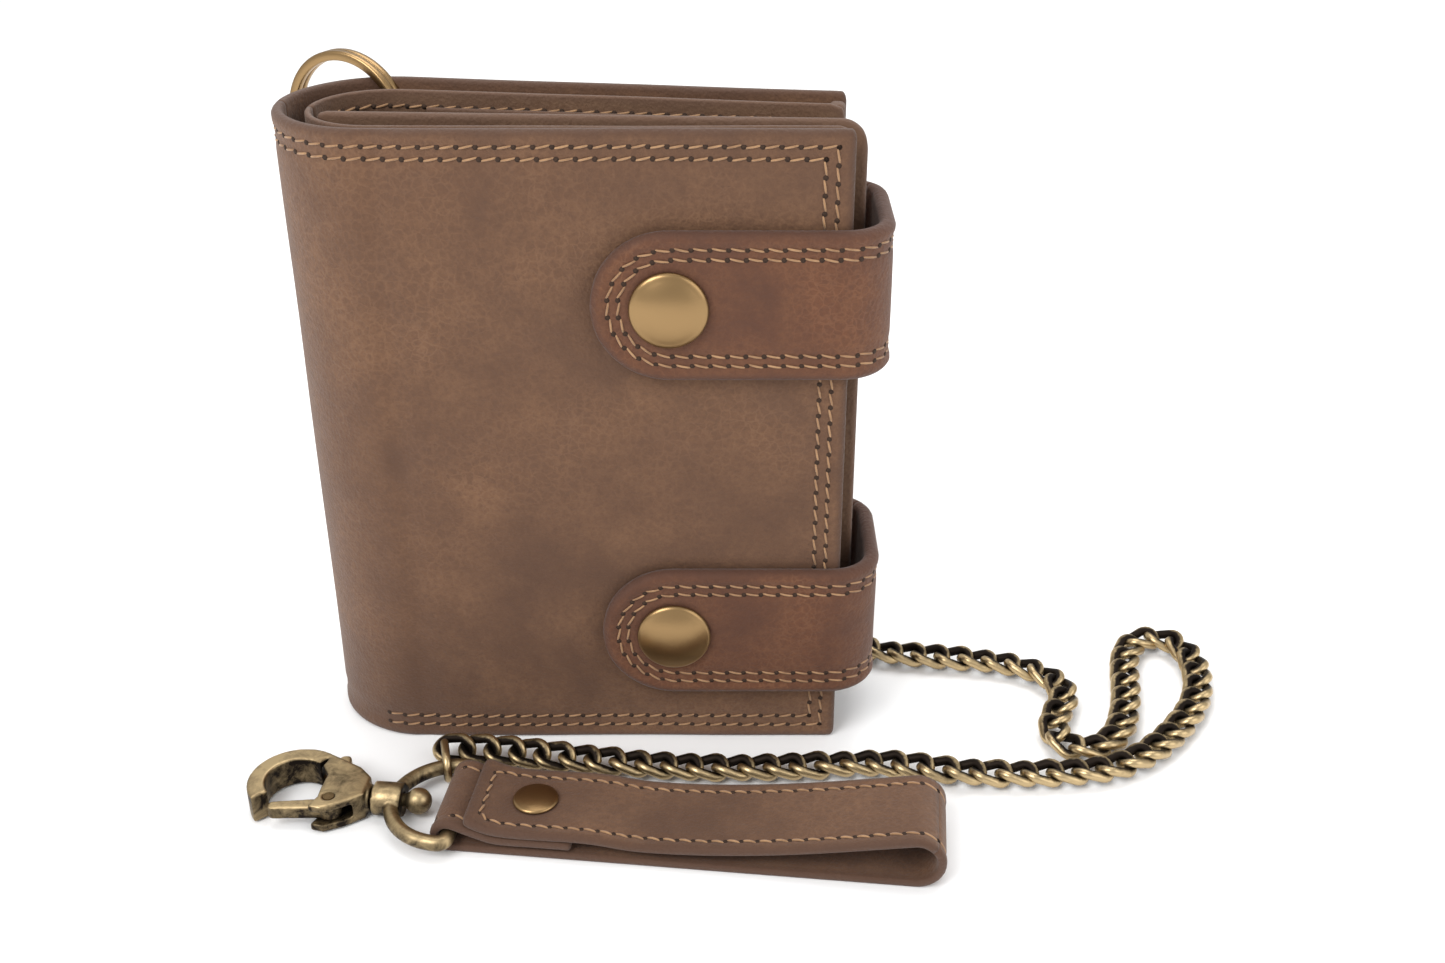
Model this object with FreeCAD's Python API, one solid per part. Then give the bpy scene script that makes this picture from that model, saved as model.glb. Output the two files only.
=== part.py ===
import FreeCAD, Part
import math
import os

# Chain wallet. A tall leather wallet stands on its lower edges with its spine at the left (-X),
# its front cover facing -Y and its fore-edge at the right (+X). Two snap straps close it round the
# fore-edge. A chain runs from a split ring in the back cover's slit to a swivel clasp that also
# carries a leather belt loop. Millimetres, +Z up, origin at the bottom centre of the wallet.

V = FreeCAD.Vector

# Wallet body
height = 128.0
spine_x, spine_y = -37.2, 3.2        # axis of the rounded spine
spine_radius = 19.0                  # to the outer face of the leather
panel_right = 48.8                   # fore-edge
front_y = spine_y - spine_radius     # outer face of the front cover
back_tilt = 7.4                      # degrees that the back cover closes towards the fore-edge
cover = 2.0                          # turned and lined cover leather
note_gap = 3.6                       # banknote compartment between cover and lining
lining = 1.2
card = 1.0                           # card pocket leather
layer_gap = 0.1
lip = 3.0                            # sewn edge where lining meets cover
hinge_gap = 0.15                     # each side of a fold line, measured at the outer face
inner_base = 12.0                    # card pockets and page end above the belt loop that lies in front

# Centre page
page_x, page_y = -47.8, 2.0
page_length = 98.2
page_tilt = 2.9
page_thickness = 2.2

# Closure straps
strap_heights = {"upper": 96.4, "lower": 27.3}
strap_width = 28.4
strap_leather = 3.0
strap_clearance = 0.3
strap_anchor = 42.0
rear_bend = 5.1                      # inner radii of the two bends round the fore-edge
front_bend = 7.0
snap_x = 15.5

# Snap fasteners: radii and heights along the snap's own axis, from the face the stud stands on
strap_snap = dict(cap_r=7.25, dome=3.0, socket_r=5.0, socket=1.4, stud_r=1.9, stud=1.2,
                  pin_r=1.0, flange_r=4.2, flange=0.8)
loop_snap = dict(cap_r=4.4, dome=1.5, socket_r=3.2, socket=0.9, stud_r=1.3, stud=0.8,
                 pin_r=0.7, flange_r=2.8, flange=0.5)
fit_gap = 0.3

# Split ring, standing in a vertical plane behind the spine's top corner
ring_centre = V(-47.8, 24.2, 118.5)
ring_turn = 63.3                     # degrees from +X to the ring's axis, seen from above
ring_radius = 13.0
ring_band = 1.8                      # radial
ring_depth = 3.0                     # axial: two flat coils
slit_room = 0.35
ring_play = 0.9                      # the end link's bow is narrower than the ring is deep

# Chain
wire = 1.6
link_length, link_width = 9.0, 6.5
end_length, end_width = 10.0, 7.0
link_pitch = 5.15
chain_z = 2.7
chain_end_z = 3.6
hanging = 22                         # links over which the chain rolls from the ring to the floor
tail = 8                             # links over which it rolls to meet the swivel ring
route = [(-47.8, 24.2, 97.7), (-47.8, 24.4, 80.0), (-47.5, 25.0, 60.0), (-46.5, 26.8, 40.0),
         (-44.5, 29.5, 22.0), (-40.0, 32.5, 9.0), (-31.0, 33.5, chain_z), (-18.0, 31.5, chain_z),
         (-4.0, 29.6, chain_z), (10.0, 28.4, chain_z), (24.0, 25.6, chain_z),
         (37.0, 22.5, chain_z), (48.0, 18.0, chain_z), (57.0, 12.5, chain_z),
         (68.0, 10.4, chain_z), (80.0, 8.8, chain_z), (90.0, 6.5, chain_z), (97.5, 1.0, chain_z),
         (98.0, -7.0, chain_z), (93.5, -14.5, chain_z), (94.0, -21.5, chain_z),
         (100.0, -24.0, chain_z), (106.5, -19.0, chain_z), (110.0, -10.0, chain_z),
         (112.0, -1.0, chain_z), (113.5, 8.5, chain_z), (117.5, 16.5, chain_z),
         (124.5, 17.5, chain_z), (128.5, 11.5, chain_z), (128.5, 2.0, chain_z),
         (125.5, -7.5, chain_z), (119.5, -16.5, chain_z), (112.0, -24.5, chain_z), (102.5, -30.0, chain_z),
         (92.0, -31.2, chain_z), (80.0, -31.6, chain_z), (68.0, -30.0, chain_z),
         (57.0, -27.8, chain_z), (45.0, -28.8, chain_z), (33.0, -29.6, chain_z),
         (20.0, -29.6, chain_z), (7.0, -28.9, 3.2), (-6.0, -27.4, 3.5),
         (-17.0, -25.6, chain_end_z), (-24.0, -24.8, chain_end_z), (-29.05, -24.8, chain_end_z)]

# Belt loop, swivel and clasp share a frame laid on the floor: u along the strap, v across, z up
loop_x, loop_y = -21.0, -42.3
loop_turn = -6.41
loop_leather = 1.6
loop_half = 9.8
bar_u, bar_z, bar_r = -4.5, 3.4, 1.5
bend_u, bend_z, bend_r = 83.0, 5.4, 5.4
loop_snap_u = 10.5
return_end = 19.0
return_z = 3.8
ring_half = 11.6
corner = 1.6
stem_r = 1.25
barrel_r = 3.3

# Clasp
hook_u, hook_v = -37.0, 0.5
hook_outer, hook_inner = 9.4, 6.0
hook_nose = 226.0
clasp_half = 3.0
slot_half = 1.5
gate_half = 1.35
gate_u, gate_v = -29.0, -4.0
gate_pin_r = 1.1


def polar(cx, cy, r, deg):
    a = math.radians(deg)
    return cx + r * math.cos(a), cy + r * math.sin(a)


def face(start, *steps):
    """A flat face in XY: each step is a point, or (a point on the arc, the arc's end)."""
    edges = []
    here = start
    for step in steps + (start,):
        if isinstance(step[0], tuple):
            through, there = step
            edges.append(Part.Arc(V(*here), V(*through), V(*there)).toShape())
        else:
            there = step
            if math.dist(here, there) > 1e-9:
                edges.append(Part.makeLine(V(*here), V(*there)))
        here = there
    return Part.Face(Part.Wire(edges))


def prism(plan, z0, z1):
    solid = plan.extrude(V(0, 0, z1 - z0))
    solid.translate(V(0, 0, z0))
    return solid


def turned(profile):
    """A solid of revolution about Z from (radius, z) points."""
    flat = Part.makePolygon([V(r, 0, z) for r, z in profile + profile[:1]])
    return Part.Face(flat).revolve(V(), V(0, 0, 1), 360)


def place(shape, position, turn_axis=V(0, 0, 1), degrees=0.0):
    moved = shape.copy()
    moved.Placement = FreeCAD.Placement(V(*position), FreeCAD.Rotation(turn_axis, degrees)) * shape.Placement
    return moved


def save(name, *solids):
    for solid in solids:
        assert solid.isValid() and solid.Volume > 0, name
    shape = solids[0] if len(solids) == 1 else Part.makeCompound(list(solids))
    shape.exportStep("parts/%s.step" % name)
    print("%-22s %4d solids %9.1f mm3" % (name, len(shape.Solids), shape.Volume))


# Each half is laid out by its distance along the panel from the spine, and its depth from the
# cover's outer face inwards.
tilt = math.radians(back_tilt)
back_along = (math.cos(tilt), -math.sin(tilt))
back_out = (math.sin(tilt), math.cos(tilt))
back_start = (spine_x + spine_radius * back_out[0], spine_y + spine_radius * back_out[1])
front_run = panel_right - spine_x
back_run = (panel_right - back_start[0]) / back_along[0]


def front(s, depth):
    return spine_x + s, front_y + depth


def back(s, depth):
    return (back_start[0] + s * back_along[0] - depth * back_out[0],
            back_start[1] + s * back_along[1] - depth * back_out[1])


halves = {"front": (front, 270.0, 225.0, front_run), "back": (back, 90.0 - back_tilt, 135.0, back_run)}
gap_angle = math.degrees(hinge_gap / spine_radius)


def shell(half, depth0, depth1, z1):
    """A cover or lining: the flat panel and its share of the rounded spine."""
    at, tangent, end, run = halves[half]
    end += gap_angle if half == "front" else -gap_angle
    middle = (tangent + end) / 2
    r0, r1 = spine_radius - depth0, spine_radius - depth1
    run -= 0.6
    plan = face(at(run, depth0), at(0, depth0),
                (polar(spine_x, spine_y, r0, middle), polar(spine_x, spine_y, r0, end)),
                polar(spine_x, spine_y, r1, end),
                (polar(spine_x, spine_y, r1, middle), at(0, depth1)), at(run, depth1))
    return prism(plan, 0, z1)


def block(half, s0, s1, depth0, depth1, z0, z1):
    at = halves[half][0]
    return prism(face(at(s0, depth0), at(s1, depth0), at(s1, depth1), at(s0, depth1)), z0, z1)


def spine_part(depth0, depth1, z1):
    r0, r1 = spine_radius - depth0, spine_radius - depth1
    a0, a1 = 135.0 + gap_angle, 225.0 - gap_angle
    plan = face(polar(spine_x, spine_y, r0, a0),
                (polar(spine_x, spine_y, r0, 180), polar(spine_x, spine_y, r0, a1)),
                polar(spine_x, spine_y, r1, a1),
                (polar(spine_x, spine_y, r1, 180), polar(spine_x, spine_y, r1, a0)))
    return prism(plan, 0, z1)


def lined(half):
    """The compartment lining with the lips that meet the cover along the base and fore-edge."""
    run = halves[half][3]
    sheet = shell(half, cover + note_gap, cover + note_gap + lining, height - 1)
    base = block(half, 6, run - 0.6, cover, cover + note_gap, 0, lip)
    side = block(half, run - 0.6 - lip, run - 0.6, cover, cover + note_gap, 0, height - 1)
    return sheet.fuse([base, side]).removeSplitter()


def rounded_top(solid, radius, top):
    corners = [e for e in solid.Edges if e.Length < 1.5 and abs(e.CenterOfMass.z - top) < 0.01]
    return solid.makeFillet(radius, corners)


def card_pocket(half, index, top):
    depth = cover + note_gap + lining + index * (card + layer_gap)
    run = halves[half][3]
    return rounded_top(block(half, 5, run - 1.5, depth, depth + card, inner_base, top), 7.0, top)


def centre_page():
    t = page_thickness / 2
    bar = face((0, -t), (page_length, -t), ((page_length + t, 0), (page_length, t)), (0, t),
               ((-t, 0), (0, -t)))
    return place(prism(bar, inner_base, height - 1.5), (page_x, page_y, 0), degrees=-page_tilt)


def leather_hole(outward, radius, base, depth):
    """A cylinder along a snap's axis, for cutting leather."""
    cutter = Part.makeCylinder(radius, depth)
    cutter.translate(V(0, 0, base))
    return outward(cutter)


def snap(outward, size, flap, base):
    """Cap, socket, stud and post of one snap. flap and base are the two leather thicknesses."""
    top = fit_gap + flap
    cup = fit_gap + size["socket"]
    r, dome = size["cap_r"], size["dome"]
    rim = 0.35 * dome
    crown = [(r * math.cos(a), top + rim + (dome - rim) * math.sin(a))
             for a in [math.radians(15 * k) for k in range(1, 6)]]
    cap = turned([(0, cup), (size["pin_r"] + 0.5, cup), (size["pin_r"] + 0.5, top), (r, top),
                  (r, top + rim)] + crown + [(0, top + dome)])
    cavity = size["stud_r"] + fit_gap
    lid = size["stud"] + 0.15
    socket = turned([(cavity, fit_gap), (size["socket_r"], fit_gap), (size["socket_r"], cup),
                     (0, cup), (0, lid), (cavity, lid)])
    stud = turned([(size["pin_r"], 0), (size["stud_r"], 0), (size["stud_r"], size["stud"]),
                   (0, size["stud"]), (0, size["stud"] - 0.2), (size["pin_r"], size["stud"] - 0.2)])
    post = turned([(0, -base - size["flange"]), (size["flange_r"], -base - size["flange"]),
                   (size["flange_r"], -base), (size["pin_r"], -base),
                   (size["pin_r"], size["stud"] - 0.2), (0, size["stud"] - 0.2)])
    return [outward(part) for part in (cap, socket, stud, post)]


def pierced_flap(outward, solid, size, flap):
    """A flap's leather with the recess for the socket and the hole for the cap's rivet."""
    recess = leather_hole(outward, size["socket_r"], 0, fit_gap + size["socket"])
    rivet = leather_hole(outward, size["pin_r"] + 0.5, 0, fit_gap + flap + 1)
    return solid.cut([recess, rivet])


def strap_frame(middle):
    """Places a snap on the front cover, facing -Y."""
    def outward(shape):
        return place(shape, (snap_x, front_y, middle), V(1, 0, 0), 90)
    return outward


def strap(middle):
    """The free part of a closure strap: two bends round the fore-edge and a rounded tab."""
    z0, z1 = middle - strap_width / 2, middle + strap_width / 2
    tab_inner = front_y - strap_clearance
    tab_outer = tab_inner - strap_leather
    cx, cy = back(back_run, rear_bend)
    outer, inner = rear_bend + strap_leather, rear_bend
    right = cx + outer
    fx, fy = right - front_bend - strap_leather, tab_inner + front_bend
    nose, heel = front_bend + strap_leather, front_bend
    half_turn = (90.0 - back_tilt) / 2
    plan = face(back(back_run, -strap_leather),
                (polar(cx, cy, outer, half_turn), (cx + outer, cy)), (right, fy),
                (polar(fx, fy, nose, -45), (fx, tab_outer)), (snap_x, tab_outer),
                (snap_x, tab_inner), (fx, tab_inner),
                (polar(fx, fy, heel, -45), (right - strap_leather, fy)), (cx + inner, cy),
                (polar(cx, cy, inner, half_turn), back(back_run, 0)))
    tip = Part.makeCylinder(strap_width / 2, strap_leather, V(snap_x, tab_inner, middle),
                            V(0, -1, 0))
    return prism(plan, z0, z1).fuse(tip).removeSplitter()


def anchor(middle):
    """The end of a closure strap that is sewn flat on the back cover."""
    z0, z1 = middle - strap_width / 2, middle + strap_width / 2
    return block("back", back_run - strap_anchor, back_run - 2 * hinge_gap, -strap_leather, 0, z0, z1)


def in_ring_frame(shape):
    turn = FreeCAD.Rotation(V(0, 0, 1), ring_turn) * FreeCAD.Rotation(V(0, 1, 0), 90)
    moved = shape.copy()
    moved.Placement = FreeCAD.Placement(ring_centre, turn) * shape.Placement
    return moved


def split_ring(room=0.0):
    """Two flat coils, parted by a groove in the outer face."""
    r0, r1 = ring_radius - ring_band / 2 - room, ring_radius + ring_band / 2 + room
    h = ring_depth / 2 + room
    groove = [] if room else [(r1, -0.1), (r1 - 0.5, -0.1), (r1 - 0.5, 0.1), (r1, 0.1)]
    return in_ring_frame(turned([(r0, -h), (r1, -h)] + groove + [(r1, h), (r0, h)]))


def oval_link(length, width):
    """A closed link of round wire, long axis X, width along Y."""
    bend = (width - wire) / 2
    a = length / 2 - wire / 2 - bend
    path = face((-a, -bend), (a, -bend), ((a + bend, 0), (a, bend)), (-a, bend),
                ((-a - bend, 0), (-a, -bend))).OuterWire
    section = Part.Wire(Part.makeCircle(wire / 2, V(0, -bend, 0), V(1, 0, 0)))
    return pipe(path, section)


def pipe(path, section):
    swept = path.makePipeShell([section], True, True)
    return swept if swept.ShapeType == "Solid" else Part.Solid(swept)


def oriented(shape, centre, along, side):
    """Turns a link's X to along and its Y to side, which are at right angles."""
    normal = along.cross(side)
    m = FreeCAD.Matrix(along.x, side.x, normal.x, centre.x, along.y, side.y, normal.y, centre.y,
                       along.z, side.z, normal.z, centre.z, 0, 0, 0, 1)
    moved = shape.copy()
    moved.Placement = FreeCAD.Placement(m)
    return moved


def chain_curve():
    spans = len(route) - 2
    curve = Part.BSplineCurve()
    curve.buildFromPolesMultsKnots([V(*p) for p in route], [3] + [1] * (spans - 1) + [3],
                                   [float(k) for k in range(spans + 1)], False, 2)
    return curve


def chain_links():
    """Links at an even pitch along the route, each a quarter turn from the last."""
    curve = chain_curve()
    edge = curve.toShape()
    count = round(edge.Length / link_pitch) + 1
    link = oval_link(link_length, link_width)
    ring_line = V(math.sin(math.radians(ring_turn)), -math.cos(math.radians(ring_turn)), 0)
    last_roll = 45.0 if (count - 1) % 2 == 0 else -45.0
    solids = []
    for i, centre in enumerate(edge.discretize(Number=count)):
        along = V(*curve.tangent(curve.parameter(centre))[0])
        start = min(1.0, i / hanging)
        end = max(0.0, 1.0 - (count - 1 - i) / tail)
        up = ring_line * (1 - start) + V(0, 0, 1) * start
        up = (up - along * up.dot(along)).normalize()
        across = along.cross(up)
        roll = math.radians(45.0 * start + 90.0 * (i % 2) + last_roll * end)
        side = up * math.cos(roll) + across * math.sin(roll)
        solids.append(oriented(link, centre, along, side))
    print("chain %.1f mm, %d links, pitch %.3f" % (edge.Length, count, edge.Length / (count - 1)))
    return solids


def laid(shape):
    """From the belt loop's frame to the wallet's."""
    moved = shape.copy()
    moved.Placement = FreeCAD.Placement(V(loop_x, loop_y, 0),
                                        FreeCAD.Rotation(V(0, 0, 1), loop_turn)) * moved.Placement
    return moved


def strip(profile):
    """A strip of the belt loop from its (u, z) outline."""
    return laid(place(prism(profile, -loop_half, loop_half), (0, 0, 0), V(1, 0, 0), 90))


def loop_base():
    t = loop_leather
    fold = bar_r + fit_gap
    split = bend_z - hinge_gap
    profile = face((bend_u + bend_r, split),
                   (polar(bend_u, bend_z, bend_r, 315), (bend_u, 0)), (bar_u, 0),
                   ((bar_u - fold - t, bar_z), (bar_u, bar_z + fold + t)),
                   (loop_snap_u - 5.5, return_z), (return_end, return_z),
                   (return_end, return_z - t), (loop_snap_u - 6, return_z - t),
                   (bar_u, bar_z + fold), ((bar_u - fold, bar_z), (bar_u, bar_z - fold)),
                   (bend_u, t), (polar(bend_u, bend_z, bend_r - t, 315), (bend_u + bend_r - t, split)))
    return strip(profile)


def loop_flap():
    t = loop_leather
    low = return_z + fit_gap
    split = bend_z + hinge_gap
    under = [(bend_u, 2 * bend_z - t), (62.0, 5.0), (46.0, 1.9), (32.0, 1.9), (21.5, low),
             (loop_snap_u - 5.0, low), (-1.5, low + 2.1)]
    over = [(u, z + t) for u, z in reversed(under)]
    profile = face((bend_u + bend_r - t, split),
                   (polar(bend_u, bend_z, bend_r - t, 45), under[0]), *under[1:], *over[:-1],
                   (bend_u, 2 * bend_z),
                   (polar(bend_u, bend_z, bend_r, 45), (bend_u + bend_r, split)))
    return strip(profile)


def loop_frame(shape):
    moved = shape.copy()
    moved.translate(V(loop_snap_u, 0, return_z))
    return laid(moved)


def swivel_ring():
    """A D ring with the barrel that the clasp's stem turns in."""
    u0 = bar_u - corner
    v0 = ring_half - corner
    c = corner * math.sqrt(0.5)
    path = face((bar_u, 0), (bar_u, v0), ((u0 + c, v0 + c), (u0, ring_half)),
                ((u0 - ring_half, 0), (u0, -ring_half)), ((u0 + c, -v0 - c), (bar_u, -v0))).OuterWire
    section = Part.Wire(Part.makeCircle(bar_r, V(bar_u, 0, 0), V(0, 1, 0)))
    ring = pipe(path, section)
    left = u0 - ring_half
    barrel = Part.makeCylinder(barrel_r, 5.8, V(left - 3.7, 0, 0), V(1, 0, 0))
    bore = Part.makeCylinder(stem_r + 0.1, 8, V(left - 5, 0, 0), V(1, 0, 0))
    solid = ring.fuse(barrel).cut(bore).removeSplitter()
    solid.translate(V(0, 0, bar_z))
    return laid(solid)


def flat_part(plan, half):
    solid = prism(plan, -half, half)
    solid.translate(V(0, 0, bar_z))
    return solid


def clasp_body():
    """The hook, its two cheeks, the neck and the stem with its riveted ball."""
    sweep = (hook_nose - 60.0) / 2 + 60.0
    hook = face(polar(hook_u, hook_v, hook_outer, 60),
                (polar(hook_u, hook_v, hook_outer, sweep), polar(hook_u, hook_v, hook_outer, hook_nose)),
                polar(hook_u, hook_v, hook_inner, hook_nose),
                (polar(hook_u, hook_v, hook_inner, sweep), polar(hook_u, hook_v, hook_inner, 60)))
    cheeks = face((-22.6, -2.6), (-22.6, 2.6), (-25.5, 5.4), (-32.3, 8.65),
                  (polar(hook_u, hook_v, hook_inner, 50)), (polar(hook_u, hook_v, hook_inner, 20)),
                  (polar(hook_u, hook_v, hook_inner, -20)), (-31.2, -4.4), (-32.2, -7.2),
                  (-29.5, -7.6), (-26.0, -5.6))
    solid = flat_part(hook, clasp_half).fuse(flat_part(cheeks, clasp_half))
    slot = flat_part(face((-34.0, -12), (-24.6, -12), (-24.6, 12), (-34.0, 12)), slot_half)
    pin_hole = Part.makeCylinder(gate_pin_r, 12, V(gate_u, gate_v, bar_z - 6))
    neck = Part.makeCylinder(2.6, 1.3, V(-23.2, 0, bar_z), V(1, 0, 0))
    stem = Part.makeCylinder(stem_r, 8, V(-22.2, 0, bar_z), V(1, 0, 0))
    ball = Part.makeSphere(2.6, V(bar_u - corner - ring_half + 2.1 + 2.9, 0, bar_z))
    return laid(solid.cut([slot, pin_hole]).fuse([neck, stem, ball]).removeSplitter())


def clasp_gate():
    """The sprung gate and the thumb lever on one hub."""
    tip_u, tip_v, r = -39.6, -5.75, 1.1
    hub = Part.makeCylinder(2.2, 2 * gate_half, V(gate_u, gate_v, bar_z - gate_half))
    bar = flat_part(face((gate_u, gate_v - 1.5), (gate_u, gate_v + 1.5), (tip_u, tip_v + r),
                         ((tip_u - r, tip_v), (tip_u, tip_v - r))), gate_half)
    lever = flat_part(face((gate_u - 1.5, gate_v), (-31.4, 9.6), ((-30.2, 10.6), (-29.0, 9.6)),
                           (gate_u + 1.5, gate_v)), gate_half)
    hole = Part.makeCylinder(gate_pin_r + 0.1, 12, V(gate_u, gate_v, bar_z - 6))
    return laid(hub.fuse([bar, lever]).cut(hole).removeSplitter())


def gate_spring():
    outer = Part.makeCylinder(1.1, 2.6, V(-27.3, 2.0, bar_z), V(1, 0, 0))
    inner = Part.makeCylinder(0.6, 2.6, V(-27.3, 2.0, bar_z), V(1, 0, 0))
    return laid(outer.cut(inner))


def end_link_at_ring():
    bow = end_length / 2 - wire / 2
    top = ring_centre.z - ring_radius + ring_band / 2 + ring_play + wire / 2
    axis = V(math.cos(math.radians(ring_turn)), math.sin(math.radians(ring_turn)), 0)
    centre = V(ring_centre.x, ring_centre.y, top - bow)
    return oriented(oval_link(end_length, end_width), centre, V(0, 0, -1), axis)


def end_link_at_swivel():
    """Stands round the D ring, just clear of the leather fold."""
    bow = end_length / 2 - wire / 2
    outward = V(-0.336, 0.942, 0).normalize()
    reach = ring_half - bar_r - 0.1 - wire / 2 + bow
    centre = V(bar_u - corner, 0, chain_end_z) + outward * reach
    return laid(oriented(oval_link(end_length, end_width), centre, outward, V(0, 0, 1)))


def build_wallet():
    back_cover = shell("back", 0, cover, height).cut(split_ring(slit_room))
    covers = {"front": shell("front", 0, cover, height), "back": back_cover}
    for name, middle in strap_heights.items():
        outward = strap_frame(middle)
        cap, socket, stud, post = snap(outward, strap_snap, strap_leather, cover)
        pin = leather_hole(outward, strap_snap["pin_r"], -cover - 1, cover + 2)
        covers["front"] = covers["front"].cut(pin)
        save(name + "_strap", pierced_flap(outward, strap(middle), strap_snap, strap_leather))
        save(name + "_strap_anchor", anchor(middle))
        save(name + "_snap_cap", cap)
        save(name + "_snap_socket", socket)
        save(name + "_snap_stud", stud)
        save(name + "_snap_post", post)
    for half in ("front", "back"):
        save(half + "_cover", covers[half])
        save(half + "_lining", lined(half))
    save("spine_cover", spine_part(0, cover, height))
    save("spine_lining", spine_part(cover + note_gap, cover + note_gap + lining, height - 1))
    for index, top in enumerate((125.0, 114.0)):
        save("front_card_pocket_%d" % (index + 1), card_pocket("front", index, top))
    for index, top in enumerate((124.0, 113.0, 102.0)):
        save("back_card_pocket_%d" % (index + 1), card_pocket("back", index, top))
    save("centre_page", centre_page())


def build_chain():
    save("split_ring", split_ring())
    save("ring_end_link", end_link_at_ring())
    save("chain_links", *chain_links())
    save("swivel_end_link", end_link_at_swivel())


def build_belt_loop():
    cap, socket, stud, post = snap(loop_frame, loop_snap, loop_leather, loop_leather)
    pin = leather_hole(loop_frame, loop_snap["pin_r"], -loop_leather - 0.2, loop_leather + 1)
    save("belt_loop_base", loop_base().cut(pin))
    save("belt_loop_flap", pierced_flap(loop_frame, loop_flap(), loop_snap, loop_leather))
    save("loop_snap_cap", cap)
    save("loop_snap_socket", socket)
    save("loop_snap_stud", stud)
    save("loop_snap_post", post)


def build_clasp():
    save("swivel_ring", swivel_ring())
    save("clasp_body", clasp_body())
    save("clasp_gate", clasp_gate())
    save("gate_pin", laid(Part.makeCylinder(gate_pin_r, 2 * clasp_half,
                                            V(gate_u, gate_v, bar_z - clasp_half))))
    save("gate_spring", gate_spring())


os.makedirs("parts", exist_ok=True)
build_wallet()
build_chain()
build_belt_loop()
build_clasp()
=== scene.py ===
import math
import random

import bpy
from mathutils import Matrix, Vector, noise


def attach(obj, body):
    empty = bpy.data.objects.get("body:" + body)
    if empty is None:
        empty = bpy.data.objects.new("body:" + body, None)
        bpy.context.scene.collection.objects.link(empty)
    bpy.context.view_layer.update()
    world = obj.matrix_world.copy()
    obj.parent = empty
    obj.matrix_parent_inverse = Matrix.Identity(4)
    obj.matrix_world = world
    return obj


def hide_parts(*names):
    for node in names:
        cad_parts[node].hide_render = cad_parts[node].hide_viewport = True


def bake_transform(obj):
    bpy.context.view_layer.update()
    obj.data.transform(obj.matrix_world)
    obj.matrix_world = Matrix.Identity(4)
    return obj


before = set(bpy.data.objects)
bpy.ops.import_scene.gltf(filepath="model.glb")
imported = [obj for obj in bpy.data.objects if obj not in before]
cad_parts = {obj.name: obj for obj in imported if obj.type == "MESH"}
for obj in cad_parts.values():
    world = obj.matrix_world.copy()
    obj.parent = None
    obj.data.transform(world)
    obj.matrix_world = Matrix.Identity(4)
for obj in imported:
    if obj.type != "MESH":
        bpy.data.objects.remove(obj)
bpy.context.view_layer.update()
MM = 0.001

# Wallet layout in millimetres, as the frame has it
HEIGHT = 128.0
SPINE_X, SPINE_Y, SPINE_R = -37.2, 3.2, 19.0
FORE_EDGE = 48.8
BACK_TILT = math.radians(7.4)
COVER, NOTE_GAP, LINING, CARD, LAYER_GAP = 2.0, 3.6, 1.2, 1.0, 0.1
PAGE_X, PAGE_Y, PAGE_LENGTH, PAGE_TILT, PAGE_THICKNESS = -47.8, 2.0, 98.2, 2.9, 2.2
INNER_BASE = 12.0
STRAPS = {"upper": 96.4, "lower": 27.3}
STRAP_T, STRAP_HALF, STRAP_ANCHOR = 3.0, 14.2, 42.0
REAR_BEND, FRONT_BEND, STRAP_GAP = 5.1, 7.0, 0.3
SNAP_X = 15.5
SNAP_FACE = STRAP_GAP + STRAP_T
LOOP_X, LOOP_Y, LOOP_TURN = -21.0, -42.3, math.radians(-6.41)
LOOP_T, LOOP_HALF, LOOP_SNAP_U = 1.6, 9.8, 10.5
BEND_U, BEND_Z, BEND_R = 83.0, 5.4, 5.4
BAR_U, BAR_Z, BAR_R = -4.5, 3.4, 1.5
RING_CENTRE, RING_TURN = Vector((-47.8, 24.2, 118.5)), math.radians(63.3)
RING_RADIUS, RING_HALF_BAND, RING_PLAY = 13.0, 0.9, 0.9
D_RING_HALF = 11.6
CHAIN_Z, CHAIN_END_Z = 2.7, 3.6

# The chain's route in millimetres, turned into metres below
ROUTE = [(-47.8, 24.2, 97.7), (-47.8, 24.4, 80.0), (-47.5, 25.0, 60.0), (-46.5, 26.8, 40.0),
         (-44.5, 29.5, 22.0), (-40.0, 32.5, 9.0), (-31.0, 33.5, CHAIN_Z), (-18.0, 31.5, CHAIN_Z),
         (-4.0, 29.6, CHAIN_Z), (10.0, 28.4, CHAIN_Z), (24.0, 25.6, CHAIN_Z),
         (37.0, 22.5, CHAIN_Z), (48.0, 18.0, CHAIN_Z), (57.0, 12.5, CHAIN_Z),
         (68.0, 10.4, CHAIN_Z), (80.0, 8.8, CHAIN_Z), (90.0, 6.5, CHAIN_Z), (97.5, 1.0, CHAIN_Z),
         (98.0, -7.0, CHAIN_Z), (93.5, -14.5, CHAIN_Z), (94.0, -21.5, CHAIN_Z),
         (100.0, -24.0, CHAIN_Z), (106.5, -19.0, CHAIN_Z), (110.0, -10.0, CHAIN_Z),
         (112.0, -1.0, CHAIN_Z), (113.5, 8.5, CHAIN_Z), (117.5, 16.5, CHAIN_Z),
         (124.5, 17.5, CHAIN_Z), (128.5, 11.5, CHAIN_Z), (128.5, 2.0, CHAIN_Z),
         (125.5, -7.5, CHAIN_Z), (119.5, -16.5, CHAIN_Z), (112.0, -24.5, CHAIN_Z),
         (102.5, -30.0, CHAIN_Z), (92.0, -31.2, CHAIN_Z), (80.0, -31.6, CHAIN_Z),
         (68.0, -30.0, CHAIN_Z), (57.0, -27.8, CHAIN_Z), (45.0, -28.8, CHAIN_Z),
         (33.0, -29.6, CHAIN_Z), (20.0, -29.6, CHAIN_Z), (7.0, -28.9, 3.2),
         (-6.0, -27.4, 3.5), (-17.0, -25.6, CHAIN_END_Z), (-24.0, -24.8, CHAIN_END_Z),
         (-29.05, -24.8, CHAIN_END_Z)]
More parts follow.
